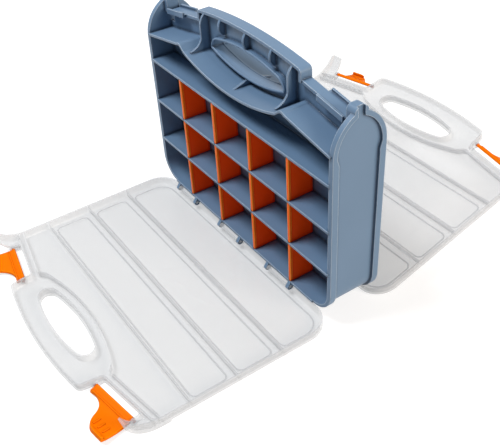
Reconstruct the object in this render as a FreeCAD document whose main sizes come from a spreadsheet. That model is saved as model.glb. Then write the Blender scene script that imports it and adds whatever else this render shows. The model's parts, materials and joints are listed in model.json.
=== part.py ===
import FreeCAD, Part
import Sketcher
import math
import os
from types import SimpleNamespace

# Screw sorting box: double-sided case, two hinged lids, four latches, loose dividers.
# Frame: X along the box, -Y towards the front lid, Z up, floor at zero, millimetres.

os.makedirs("parts", exist_ok=True)
doc = FreeCAD.newDocument("sorting_box")
sheet = doc.addObject("Spreadsheet::Sheet", "Sheet")

# Driving dimensions: name, value, meaning
SIZES = [
    ("half_width", 150, "middle to the outer face of an end wall"),
    ("front_reach", 29, "mid-plane to the front edge of shelves, floor and wave"),
    ("end_reach", 27.8, "mid-plane to the front edge of an end wall"),
    ("wall", 2.4, "floor, wave, shelf and web thickness"),
    ("floor_top", 16.5, "upper face of the lowest floor"),
    ("row_pitch", 47.7, "step from one shelf to the next"),
    ("corner_round", 25, "outer radius of the bottom corners"),
    ("corner_inner", 20, "inner radius of the bottom corners"),
    ("corner_leg", 14, "straight leg of the floor trough above its corner"),
    ("end_wall", 5, "end wall thickness at its rim"),
    ("recess", 2.5, "depth of the sunk panel in an end wall"),
    ("rim", 6.5, "raised rim width round the sunk panel"),
    ("rim_arch", 4.5, "raised rim width along the arch"),
    ("shelf_round", 3, "corner radius of a shelf"),
    ("wave_end", 187.5, "upper face of the wave wall at an end wall"),
    ("wave_crest", 198.4, "upper face of the wave wall at its crest"),
    ("crest_inner", 80, "crest start on the bowl side"),
    ("crest_outer", 87, "crest end on the shoulder side"),
    ("crest_round", 6, "crest radius"),
    ("bowl_half", 74, "half width of the bowl"),
    ("bowl_edge", 193.6, "bowl height where it meets the crest"),
    ("bowl_low", 181.5, "lowest point of the bowl"),
    ("arch_start", 183.5, "height where an end wall starts to arch"),
    ("arch_round", 38, "arch radius of an end wall"),
    ("neck_half", 7, "half width of the neck tab on an end wall"),
    ("neck_foot", 206, "lower end of the neck tab"),
    ("neck_top", 223, "top of the neck tab"),
    ("neck_round", 5, "corner radius of the neck tab"),
    ("neck_deep", 5.5, "neck tab reach inside its end wall"),
    ("panel_neck", 3.6, "half width of the sunk panel in the neck"),
    ("panel_top", 226, "top of the sunk panel, open through the neck tab"),
    ("bar_half", 77, "half length of the grip bar's arched top"),
    ("bar_side", 81, "middle to the outer face of a grip bar end"),
    ("bar_top", 234.5, "top of the grip bar at its middle"),
    ("bar_end", 228.6, "top of the grip bar at its ends"),
    ("bar_corner", 224.8, "height where a grip bar end turns down"),
    ("bar_foot", 216, "lower edge of a grip bar end"),
    ("bar_round", 4.6, "corner radius of the grip bar"),
    ("bar_thick", 3, "grip bar flange thickness"),
    ("bar_reach", 6, "half depth of the grip bar and collar"),
    ("hole_half", 57, "middle to the tip of the hand hole"),
    ("hole_tip", 198, "height of the hand hole's tips"),
    ("hole_side", 46, "where the hand hole's upper arc ends"),
    ("hole_side_top", 208.5, "height there"),
    ("hole_top", 214.5, "top of the hand hole"),
    ("hole_low", 188.9, "bottom of the hand hole"),
    ("hole_round", 12, "end radius of the hand hole"),
    ("collar_wall", 2, "collar thickness round the hand hole"),
    ("gusset_at", 69, "middle to a gusset"),
    ("rib_thick", 2, "gusset and rib thickness"),
    ("gusset_neck", 11.2, "half depth of a gusset at its waist"),
    ("gusset_foot", 23.8, "half depth of a gusset at its foot"),
    ("gusset_high", 216, "height where a gusset reaches its waist"),
    ("gusset_waist", 203, "height where a gusset starts to flare"),
    ("gusset_low", 190.5, "foot of a gusset, inside the wave wall"),
    ("gusset_round", 14, "upper radius of a gusset's edge"),
    ("flare_round", 16, "flare radius of a gusset's edge"),
    ("moon_half", 4.4, "half depth of a half-moon rib at its ends"),
    ("moon_bulge", 3.8, "bulge of a half-moon rib's edge"),
    ("moon_low", 215.5, "lower end of a half-moon rib, inside the collar"),
    ("moon_high", 232.2, "upper end of a half-moon rib, inside the grip bar"),
    ("moon_step", 40, "step between half-moon ribs"),
    ("bowl_rib_reach", 25, "front end of the short rib in the bowl"),
    ("rail_half", 5, "half depth of the rail beside the grip"),
    ("catch_near", 105, "inner end of a catch block"),
    ("catch_far", 137.5, "outer end of a catch block"),
    ("catch_top", 214.6, "flange top at the inner end of a catch block"),
    ("catch_thick", 3, "catch flange thickness"),
    ("catch_half", 9, "half depth of a catch block"),
    ("lip_thick", 2, "catch lip thickness"),
    ("lip_rise", 2.4, "catch lip height above its flange"),
    ("fall_share", 0.17, "fall of shoulders, catches and pivots per length"),
    ("web_dip", 195, "web top between a catch block and an end wall"),
    ("hinge_y", 29.4, "mid-plane to a lid hinge axis"),
    ("hinge_z", 10, "height of the lid hinge axes"),
    ("knuckle_round", 3.4, "body knuckle radius"),
    ("barrel_round", 3, "lid barrel radius"),
    ("pin_round", 1.5, "hinge and pivot pin radius"),
    ("pin_play", 0.05, "radial running clearance of a pin"),
    ("side_play", 0.4, "end clearance beside knuckles, lugs and dividers"),
    ("unit_first", 100, "middle to the first hinge unit"),
    ("unit_pitch", 86, "step between hinge units"),
    ("ear_step", 16, "hinge unit middle to a knuckle's inner face"),
    ("ear_wide", 4, "knuckle width"),
    ("ear_root", 22, "mid-plane to the inner root of a knuckle"),
    ("groove_wide", 2.6, "divider groove width"),
    ("groove_deep", 0.6, "divider groove depth"),
    ("column_near", 30, "middle to the nearer divider"),
    ("column_far", 90, "middle to the farther divider"),
    ("divider_thick", 2, "divider thickness"),
    ("divider_play", 0.2, "divider clearance at the bottom of a groove"),
    ("divider_back", 0.4, "divider clearance from the web"),
    ("divider_front", 0.6, "divider front edge behind the shelf edge"),
    ("bead_half", 1.6, "half thickness of a divider's front bead"),
    ("bead_deep", 2.2, "depth of a divider's front bead"),
    ("lid_half", 153, "half width of a lid"),
    ("lid_depth", 10, "lid depth, hinge axis to outer face"),
    ("lid_wall", 1.8, "lid skin thickness"),
    ("lid_inset", 4.05, "lid edge past the hinge axis, so a raised lid touches the floor"),
    ("lid_round", 3, "outer edge radius of a lid"),
    ("lid_corner", 25, "hinge-side corner radius of a lid"),
    ("lid_side_top", 178, "height of a lid side where its horn cheek starts"),
    ("corner_small", 8, "upper corner radius of a lid"),
    ("pocket_near", 83, "inner end of a latch pocket"),
    ("pocket_top", 195.4, "lid shoulder height at the pocket's inner end"),
    ("pocket_round", 4, "radius at the foot of the lid handle"),
    ("bow_side", 80, "half width of the lid handle"),
    ("bow_end", 218.6, "height of the lid handle's arch ends"),
    ("bow_top", 226, "top of the lid handle"),
    ("bow_round", 7, "corner radius of the lid handle"),
    ("oval_half", 52, "half length of the lid handle hole"),
    ("oval_level", 193.5, "middle height of the lid handle hole"),
    ("oval_rise", 13.5, "half height of the lid handle hole"),
    ("oval_side", 44, "where the lid hole's long arcs end"),
    ("oval_side_rise", 8.5, "half height of the lid hole there"),
    ("oval_end", 10.5, "end radius of the lid hole"),
    ("rib_lid", 1.6, "inner rib thickness of a lid"),
    ("seal_gap", 0.2, "lid rib tops below the rim plane"),
    ("horn_inner", 139.5, "inner side of a lid horn"),
    ("horn_round", 34, "outer radius of a lid horn"),
    ("horn_level", 177, "height of a lid horn's centre"),
    ("horn_thick", 2, "lid horn thickness"),
    ("horn_cheek", 5, "depth of the horn's side cheek at its tip"),
    ("horn_turn", 65, "angle swept by a lid horn"),
    ("cheek_root", 168, "lower end of a horn's side cheek"),
    ("cheek_round", 46, "inner radius of a horn's side cheek"),
    ("latch_at", 110.5, "middle to the middle of a latch"),
    ("pivot_level", 199.4, "latch pivot height above the hinge axis"),
    ("pivot_deep", 5.5, "latch pivot behind the lid rim"),
    ("latch_half", 26, "half width of a latch"),
    ("latch_barrel", 2.4, "latch barrel radius"),
    ("lug_round", 3.2, "latch lug radius"),
    ("lug_wide", 2.4, "latch lug width"),
    ("lug_leg", 9.6, "latch lug length below its pivot"),
    ("latch_thick", 2.4, "latch plate thickness"),
    ("latch_bend", 60, "radius of the latch plate's arch"),
    ("hook_gap", 0.6, "hook clearance round the catch lip"),
    ("hook_thick", 2.2, "hook thickness"),
    ("hook_round", 1.6, "outer radius of the hook"),
    ("notch_start", 5.5, "where the latch's side scallop starts"),
    ("notch_round", 18, "radius of the latch's side scallop"),
    ("waist_at", 2, "latch middle to the end of its side scallop"),
    ("waist_reach", 17, "pivot to the end of the side scallop"),
    ("nose_at", 18, "latch middle to the end of its rounded nose"),
    ("nose_round", 20, "radius of the latch's rounded nose"),
    ("front_open", 90, "front lid opening angle at rest"),
    ("rear_open", 73, "rear lid opening angle at rest"),
    ("latch_open", 69.5, "front latch opening angle at rest"),
    ("rear_latch_open", 112, "rear latch opening angle at rest"),
    ("frame_shift", 4.36, "mid-plane to the middle of the opened set"),
    ("overrun", 3, "cut length past a face, and root depth inside a wall"),
]


class Size:
    """A dimension that carries its value and the sheet expression that gives it."""

    def __init__(self, value, text):
        self.value = value
        self.text = text

    def __add__(self, other):
        return Size(self.value + other.value, "(%s + %s)" % (self.text, other.text))

    def __sub__(self, other):
        return Size(self.value - other.value, "(%s - %s)" % (self.text, other.text))

    def __mul__(self, other):
        return Size(self.value * other.value, "(%s * %s)" % (self.text, other.text))

    def __truediv__(self, other):
        return Size(self.value / other.value, "(%s / %s)" % (self.text, other.text))

    def __neg__(self):
        return Size(-self.value, "(-1 * %s)" % self.text)

    def twice(self):
        return Size(2 * self.value, "(2 * %s)" % self.text)

    def half(self):
        return Size(self.value / 2, "(%s / 2)" % self.text)

    def times(self, count):
        return Size(count * self.value, "(%d * %s)" % (count, self.text))


# The sheet
named = {}
for row, (name, value, note) in enumerate(SIZES, start=1):
    sheet.set("A%d" % row, name)
    sheet.set("B%d" % row, str(value))
    sheet.set("C%d" % row, note)
    sheet.setAlias("B%d" % row, name)
    named[name] = Size(float(value), "Sheet.%s" % name)
doc.recompute()
d = SimpleNamespace(**named)
zero = Size(0.0, "0")
LEFT_TURN = 1
RIGHT_TURN = -1


def root(size):
    return Size(math.sqrt(size.value), "sqrt(%s)" % size.text)


def sine(angle):
    return Size(math.sin(math.radians(angle.value)), "sin(%s)" % angle.text)


def cosine(angle):
    return Size(math.cos(math.radians(angle.value)), "cos(%s)" % angle.text)


def arc_radius(half_chord, rise):
    """Radius of the arc with this half chord and this rise."""
    return (half_chord * half_chord + rise * rise) / rise.twice()


# Sketch and feature helpers
def origin_part(body, role):
    for part in body.Origin.OriginFeatures:
        if part.Role == role:
            return part
    raise RuntimeError("no origin part " + role)


def new_body(label):
    body = doc.addObject("PartDesign::Body", label)
    body.Label = label
    return body


def new_sketch(body, role, lift=None, along=None, turn=None):
    """Sketch on an origin plane, lifted along its normal, shifted along and turned about it."""
    sketch = body.newObject("Sketcher::SketchObject", "Sketch")
    sketch.AttachmentSupport = [(origin_part(body, role), "")]
    sketch.MapMode = "FlatFace"
    shift = FreeCAD.Vector(0, 0, 0)
    if lift is not None:
        shift.z = lift.value
    if along is not None:
        shift.x = along[0].value
        shift.y = along[1].value
    spin = FreeCAD.Rotation()
    if turn is not None:
        spin = FreeCAD.Rotation(FreeCAD.Vector(1, 0, 0), turn.value)
    sketch.AttachmentOffset = FreeCAD.Placement(shift, spin)
    if lift is not None:
        sketch.setExpression("AttachmentOffset.Base.z", lift.text)
    if along is not None:
        sketch.setExpression("AttachmentOffset.Base.x", along[0].text)
        sketch.setExpression("AttachmentOffset.Base.y", along[1].text)
    return sketch


def pin_point(sketch, piece, end, across, up):
    """Fix a sketch point by two distances from the origin, bound to the sheet."""
    first = sketch.ConstraintCount
    sketch.addConstraint(Sketcher.Constraint("DistanceX", -1, 1, piece, end, across.value))
    sketch.addConstraint(Sketcher.Constraint("DistanceY", -1, 1, piece, end, up.value))
    sketch.setExpression("Constraints[%d]" % first, across.text)
    sketch.setExpression("Constraints[%d]" % (first + 1), up.text)


def set_radius(sketch, piece, radius):
    first = sketch.ConstraintCount
    sketch.addConstraint(Sketcher.Constraint("Radius", piece, radius.value))
    sketch.setExpression("Constraints[%d]" % first, radius.text)


def arc_between(start, end, radius, way):
    """The shorter arc from start to end, turning left or right."""
    half = (end - start) * 0.5
    side = FreeCAD.Vector(-half.y, half.x, 0)
    side.normalize()
    reach = math.sqrt(max(radius * radius - half.Length ** 2, 0))
    centre = start + half + side * (reach * way)
    circle = Part.Circle(centre, FreeCAD.Vector(0, 0, 1), radius)
    first = math.atan2(start.y - centre.y, start.x - centre.x)
    last = math.atan2(end.y - centre.y, end.x - centre.x)
    if way == RIGHT_TURN:
        first, last = last, first
    if last < first:
        last += 2 * math.pi
    return Part.ArcOfCircle(circle, first, last)


def draw_loop(sketch, corners):
    """Closed outline: each corner is (across, up) for a line to the next, or adds radius and way."""
    points = [FreeCAD.Vector(c[0].value, c[1].value, 0) for c in corners]
    first = sketch.GeometryCount
    count = len(corners)
    starts = []
    ends = []
    for i, corner in enumerate(corners):
        here = points[i]
        there = points[(i + 1) % count]
        if len(corner) == 2:
            sketch.addGeometry(Part.LineSegment(here, there))
            starts.append(1)
            ends.append(2)
        else:
            sketch.addGeometry(arc_between(here, there, corner[2].value, corner[3]))
            starts.append(1 if corner[3] == LEFT_TURN else 2)
            ends.append(2 if corner[3] == LEFT_TURN else 1)
    for i in range(count):
        after = (i + 1) % count
        sketch.addConstraint(
            Sketcher.Constraint("Coincident", first + i, ends[i], first + after, starts[after]))
    for i, corner in enumerate(corners):
        pin_point(sketch, first + i, starts[i], corner[0], corner[1])
        if len(corner) > 2:
            set_radius(sketch, first + i, corner[2])


def draw_circle(sketch, across, up, radius):
    piece = sketch.GeometryCount
    centre = FreeCAD.Vector(across.value, up.value, 0)
    sketch.addGeometry(Part.Circle(centre, FreeCAD.Vector(0, 0, 1), radius.value))
    pin_point(sketch, piece, 3, across, up)
    set_radius(sketch, piece, radius)


def mirrored(half, closing=()):
    """Whole outline from its right half; the last corner's piece crosses the middle."""
    whole = list(half)
    for i in range(len(half) - 1, -1, -1):
        bend = half[i - 1][2:] if i > 0 else closing
        whole.append((-half[i][0], half[i][1]) + tuple(bend))
    return whole


def box_loop(left, right, low, high):
    return [(left, low), (right, low), (right, high), (left, high)]


def pad(body, sketch, length, both=False, back=False):
    feature = body.newObject("PartDesign::Pad", "Pad")
    feature.Profile = sketch
    feature.SideType = "Symmetric" if both else "One side"
    feature.Reversed = back
    feature.setExpression("Length", length.text)
    sketch.Visibility = False
    return feature


def pocket(body, sketch, length, both=False, back=False):
    feature = body.newObject("PartDesign::Pocket", "Pocket")
    feature.Profile = sketch
    feature.SideType = "Symmetric" if both else "One side"
    feature.Reversed = back
    feature.setExpression("Length", length.text)
    sketch.Visibility = False
    return feature


def mirror(body, features, role):
    feature = body.newObject("PartDesign::Mirrored", "Mirrored")
    feature.Originals = features
    feature.MirrorPlane = (origin_part(body, role), [""])
    body.Tip = feature
    return feature


def repeat(body, features, role, step, count):
    """Linear pattern of features along an origin axis."""
    feature = body.newObject("PartDesign::LinearPattern", "LinearPattern")
    feature.Originals = features
    feature.Direction = (origin_part(body, role), [""])
    feature.Mode = "Spacing"
    feature.setExpression("Offset", step.text)
    feature.Occurrences = count
    body.Tip = feature
    return feature


def round_edges(body, wanted, radius):
    """Fillet the edges of the body's tip that pass the test."""
    doc.recompute()
    tip = body.Tip
    names = []
    for i, edge in enumerate(tip.Shape.Edges, start=1):
        if wanted(edge):
            names.append("Edge%d" % i)
    if not names:
        raise RuntimeError("no edges to round on " + body.Label)
    feature = body.newObject("PartDesign::Fillet", "Fillet")
    feature.Base = (tip, names)
    feature.setExpression("Radius", radius.text)
    return feature


def upright_at(across, up):
    """Test for edges square to the XZ plane at this point or its mirror image."""
    def wanted(edge):
        box = edge.BoundBox
        sides = abs(abs(box.XMin) - across.value) + abs(abs(box.XMax) - across.value)
        levels = abs(box.ZMin - up.value) + abs(box.ZMax - up.value)
        return sides + levels + box.XLength < d.pin_play.value
    return wanted


# Shared curves
ROWS = 3
MOONS = 3
HINGE_UNITS = 3
bowl_bend = arc_radius(d.bowl_half, d.bowl_edge - d.bowl_low)
wave_side = d.half_width - d.end_wall.half()


def wave_band(thick, drop, side):
    """Outline of the wave: shoulders, crests and bowl, this thick and this far below."""
    high = zero - drop
    low = zero - drop - thick
    return mirrored([
        (d.bowl_half, d.bowl_edge + low),
        (d.crest_inner, d.wave_crest + low, d.crest_round, RIGHT_TURN),
        (d.crest_outer, d.wave_crest + low),
        (side, d.wave_end + low),
        (side, d.wave_end + high),
        (d.crest_outer, d.wave_crest + high, d.crest_round, LEFT_TURN),
        (d.crest_inner, d.wave_crest + high),
        (d.bowl_half, d.bowl_edge + high, bowl_bend, RIGHT_TURN),
    ], (bowl_bend, LEFT_TURN))


def catch_level(across):
    """Catch flange top above a point along the shoulder."""
    return d.catch_top - (across - d.catch_near) * d.fall_share


def hand_hole(grow):
    """Leaf-shaped hand hole, grown outwards by this much."""
    upper = arc_radius(d.hole_side, d.hole_top - d.hole_side_top) + grow
    lower = arc_radius(d.hole_half, d.hole_tip - d.hole_low) + grow
    return mirrored([
        (d.hole_half + grow, d.hole_tip, d.hole_round + grow, LEFT_TURN),
        (d.hole_side, d.hole_side_top + grow, upper, LEFT_TURN),
    ], (lower, LEFT_TURN))


def bar_arc(drop):
    return arc_radius(d.bar_half, d.bar_top - d.bar_end) - drop


# The body: one moulding
def make_body():
    body = new_body("body")
    # Web with the hand hole
    sketch = new_sketch(body, "XZ_Plane")
    inset = d.end_wall.half()
    corner = d.half_width - d.corner_round
    low = d.floor_top - d.wall.half()
    turn = d.corner_round - inset
    mid_bar = d.bar_thick.half()
    draw_loop(sketch, mirrored([
        (corner, low, turn, LEFT_TURN),
        (d.half_width - inset, low + turn),
        (d.half_width - inset, d.web_dip),
        (d.catch_far, d.web_dip),
        (d.catch_far, catch_level(d.catch_far) - d.catch_thick.half()),
        (d.bar_side - mid_bar, catch_level(d.bar_side) - d.catch_thick.half()),
        (d.bar_side - mid_bar, d.bar_corner - mid_bar),
        (d.bar_half, d.bar_end - mid_bar, bar_arc(mid_bar), LEFT_TURN),
    ]))
    draw_loop(sketch, hand_hole(zero))
    pad(body, sketch, d.wall, both=True)
    # Floor trough with rounded corners
    sketch = new_sketch(body, "XZ_Plane")
    under = d.floor_top - d.wall
    inner = d.half_width - d.end_wall
    draw_loop(sketch, mirrored([
        (corner, under, d.corner_round, LEFT_TURN),
        (d.half_width, under + d.corner_round),
        (d.half_width, under + d.corner_round + d.corner_leg),
        (inner, under + d.corner_round + d.corner_leg),
        (inner, d.floor_top + d.corner_inner, d.corner_inner, RIGHT_TURN),
        (inner - d.corner_inner, d.floor_top),
    ]))
    pad(body, sketch, d.end_reach.twice(), both=True)
    # Floor lip as far forward as the shelves
    sketch = new_sketch(body, "XZ_Plane")
    draw_loop(sketch, box_loop(-corner, corner, under, d.floor_top))
    pad(body, sketch, d.front_reach.twice(), both=True)
    # End walls with arch and neck tab
    sketch = new_sketch(body, "YZ_Plane", inner)
    centre = d.end_reach - d.arch_round
    spring = root(d.arch_round * d.arch_round - (d.neck_half - centre) * (d.neck_half - centre))
    draw_loop(sketch, mirrored([
        (d.end_reach, under + d.corner_round),
        (d.end_reach, d.arch_start, d.arch_round, LEFT_TURN),
        (d.neck_half, d.arch_start + spring),
    ]))
    ends = pad(body, sketch, d.end_wall)
    sketch = new_sketch(body, "YZ_Plane", inner - d.neck_deep)
    draw_loop(sketch, mirrored([
        (d.neck_half, d.neck_foot),
        (d.neck_half, d.neck_top - d.neck_round, d.neck_round, LEFT_TURN),
        (d.neck_half - d.neck_round, d.neck_top),
    ]))
    tab = pad(body, sketch, d.neck_deep + d.end_wall)
    # Sunk bottle-shaped panel, running on round the bottom corners
    sketch = new_sketch(body, "YZ_Plane", d.half_width)
    panel = d.end_reach - d.rim
    bend = d.arch_round - d.rim_arch
    slope = root(bend * bend - (d.panel_neck - centre) * (d.panel_neck - centre))
    draw_loop(sketch, mirrored([
        (panel, under + d.corner_round),
        (panel, d.arch_start - d.rim),
        (centre + bend, d.arch_start, bend, LEFT_TURN),
        (d.panel_neck, d.arch_start + slope),
        (d.panel_neck, d.panel_top, d.panel_neck.twice(), LEFT_TURN),
    ]))
    sunk = pocket(body, sketch, d.recess)
    mirror(body, [ends, tab, sunk], "YZ_Plane")
    sketch = new_sketch(body, "XZ_Plane")
    draw_loop(sketch, [
        (corner, under - d.overrun),
        (d.half_width + d.overrun, under - d.overrun),
        (d.half_width + d.overrun, under + d.corner_round),
        (d.half_width - d.recess, under + d.corner_round, d.corner_round - d.recess.half(), RIGHT_TURN),
        (corner, under + d.recess.half()),
    ])
    groove = pocket(body, sketch, panel.twice(), both=True)
    mirror(body, [groove], "YZ_Plane")
    # Wave wall over the top row
    sketch = new_sketch(body, "XZ_Plane")
    draw_loop(sketch, wave_band(d.wall, zero, wave_side))
    pad(body, sketch, d.front_reach.twice(), both=True)
    # Short rib from the bowl to the collar
    sketch = new_sketch(body, "YZ_Plane")
    draw_loop(sketch, mirrored([
        (d.bowl_rib_reach, d.bowl_low - d.wall.half()),
        (d.bar_reach.half(), d.hole_low - d.collar_wall.half()),
    ]))
    pad(body, sketch, d.wall, both=True)
    # Shelves with rounded corners
    sketch = new_sketch(body, "XY_Plane", d.floor_top + d.row_pitch - d.wall)
    side = d.half_width - d.end_wall.half()
    draw_loop(sketch, mirrored([
        (side - d.shelf_round, -d.front_reach, d.shelf_round, LEFT_TURN),
        (side, d.shelf_round - d.front_reach),
        (side, d.front_reach - d.shelf_round, d.shelf_round, LEFT_TURN),
        (side - d.shelf_round, d.front_reach),
    ]))
    shelf = pad(body, sketch, d.wall)
    repeat(body, [shelf], "Z_Axis", d.row_pitch, ROWS)
    # Grip bar with turned-down ends
    sketch = new_sketch(body, "XZ_Plane")
    thick = d.bar_thick
    draw_loop(sketch, mirrored([
        (d.bar_half, d.bar_end - thick, d.bar_round - thick, RIGHT_TURN),
        (d.bar_side - thick, d.bar_corner - thick.half()),
        (d.bar_side - thick, d.bar_foot),
        (d.bar_side, d.bar_foot),
        (d.bar_side, d.bar_corner, d.bar_round, LEFT_TURN),
        (d.bar_half, d.bar_end, bar_arc(zero), LEFT_TURN),
    ], (bar_arc(thick), RIGHT_TURN)))
    pad(body, sketch, d.bar_reach.twice(), both=True)
    # Collar sleeve round the hand hole
    sketch = new_sketch(body, "XZ_Plane")
    draw_loop(sketch, hand_hole(d.collar_wall))
    draw_loop(sketch, hand_hole(zero))
    pad(body, sketch, d.bar_reach.twice(), both=True)
    # S-shaped gussets beside the hand hole
    sketch = new_sketch(body, "YZ_Plane", d.gusset_at - d.rib_thick.half())
    draw_loop(sketch, mirrored([
        (d.gusset_foot, d.gusset_low),
        (d.gusset_foot, d.bowl_edge, d.flare_round, RIGHT_TURN),
        (d.gusset_neck, d.gusset_waist),
        (d.gusset_neck, d.gusset_high, d.gusset_round, LEFT_TURN),
        (d.bar_reach, d.bar_end - d.bar_thick.half()),
    ]))
    gusset = pad(body, sketch, d.rib_thick)
    mirror(body, [gusset], "YZ_Plane")
    # Half-moon ribs under the grip bar
    sketch = new_sketch(body, "YZ_Plane", -d.moon_step - d.rib_thick.half())
    moon_bend = arc_radius((d.moon_high - d.moon_low).half(), d.moon_bulge)
    draw_loop(sketch, mirrored([
        (d.moon_half, d.moon_low, moon_bend, LEFT_TURN),
        (d.moon_half, d.moon_high),
    ]))
    moon = pad(body, sketch, d.rib_thick)
    repeat(body, [moon], "X_Axis", d.moon_step, MOONS)
    # Rails and catch blocks with lips
    sketch = new_sketch(body, "XZ_Plane")
    draw_loop(sketch, [
        (d.bar_side - d.bar_thick, catch_level(d.bar_side - d.bar_thick) - d.catch_thick),
        (d.catch_near, catch_level(d.catch_near) - d.catch_thick),
        (d.catch_near, catch_level(d.catch_near)),
        (d.bar_side - d.bar_thick, catch_level(d.bar_side - d.bar_thick)),
    ])
    rail = pad(body, sketch, d.rail_half.twice(), both=True)
    sketch = new_sketch(body, "XZ_Plane")
    draw_loop(sketch, [
        (d.catch_near, catch_level(d.catch_near) - d.catch_thick),
        (d.catch_far, catch_level(d.catch_far) - d.catch_thick),
        (d.catch_far, catch_level(d.catch_far)),
        (d.catch_near, catch_level(d.catch_near)),
    ])
    flange = pad(body, sketch, d.catch_half.twice(), both=True)
    mirror(body, [rail, flange], "YZ_Plane")
    sketch = new_sketch(body, "XZ_Plane", d.catch_half - d.lip_thick)
    lip_foot = d.catch_thick.half()
    draw_loop(sketch, [
        (d.catch_near, catch_level(d.catch_near) - lip_foot),
        (d.catch_far, catch_level(d.catch_far) - lip_foot),
        (d.catch_far, catch_level(d.catch_far) + d.lip_rise),
        (d.catch_near, catch_level(d.catch_near) + d.lip_rise),
    ])
    draw_loop(sketch, [
        (-d.catch_near, catch_level(d.catch_near) - lip_foot),
        (-d.catch_near, catch_level(d.catch_near) + d.lip_rise),
        (-d.catch_far, catch_level(d.catch_far) + d.lip_rise),
        (-d.catch_far, catch_level(d.catch_far) - lip_foot),
    ])
    lips = pad(body, sketch, d.lip_thick)
    mirror(body, [lips], "XZ_Plane")
    # Divider grooves in floor and shelves, front and rear
    sketch = new_sketch(body, "XZ_Plane", d.wall.half())
    row_low = d.floor_top - d.groove_deep
    row_high = d.floor_top + d.row_pitch - d.wall + d.groove_deep
    half = d.groove_wide.half()
    for column in (-d.column_far, -d.column_near, d.column_near, d.column_far):
        draw_loop(sketch, box_loop(column - half, column + half, row_low, row_high))
    grooves = pocket(body, sketch, d.front_reach, back=True)
    repeat(body, [grooves], "Z_Axis", d.row_pitch, ROWS)
    sketch = new_sketch(body, "XZ_Plane", -d.wall.half())
    for column in (-d.column_far, -d.column_near, d.column_near, d.column_far):
        draw_loop(sketch, box_loop(column - half, column + half, row_low, row_high))
    grooves = pocket(body, sketch, d.front_reach)
    repeat(body, [grooves], "Z_Axis", d.row_pitch, ROWS)
    # Hinge knuckles, front then rear
    for side in (LEFT_TURN, RIGHT_TURN):
        ears = []
        for step in (-d.ear_step - d.ear_wide, d.ear_step):
            start = zero - d.unit_first + step
            if side == RIGHT_TURN:
                start = d.unit_first - d.unit_pitch.times(HINGE_UNITS - 1) + step
            sketch = new_sketch(body, "YZ_Plane", start)
            place = [
                (d.hinge_y + d.knuckle_round, d.hinge_z),
                (d.front_reach, d.floor_top - d.wall.half()),
                (d.ear_root, d.floor_top - d.wall.half()),
                (d.hinge_y - d.knuckle_round, d.hinge_z, d.knuckle_round, LEFT_TURN),
                (d.hinge_y, d.hinge_z - d.knuckle_round, d.knuckle_round, LEFT_TURN),
            ]
            if side == LEFT_TURN:
                place = [(-p[0],) + p[1:3] + ((RIGHT_TURN,) if len(p) > 2 else ()) for p in place]
                draw_circle(sketch, -d.hinge_y, d.hinge_z, d.pin_round + d.pin_play)
            else:
                draw_circle(sketch, d.hinge_y, d.hinge_z, d.pin_round + d.pin_play)
            draw_loop(sketch, place)
            ears.append(pad(body, sketch, d.ear_wide))
        repeat(body, ears, "X_Axis", d.unit_pitch, HINGE_UNITS)
    body.setExpression("Placement.Base.y", d.frame_shift.text)
    return body


# A lid, drawn closed with its hinge axis at the origin
def oval_loop(grow):
    long_arc = arc_radius(d.oval_side, d.oval_rise - d.oval_side_rise) + grow
    return mirrored([
        (d.oval_side, d.oval_level - d.oval_side_rise - grow, d.oval_end + grow, LEFT_TURN),
        (d.oval_half + grow, d.oval_level, d.oval_end + grow, LEFT_TURN),
        (d.oval_side, d.oval_level + d.oval_side_rise + grow, long_arc, LEFT_TURN),
    ], (long_arc, LEFT_TURN))


def pocket_level(across):
    return d.pocket_top - (across - d.pocket_near) * d.fall_share


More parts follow.
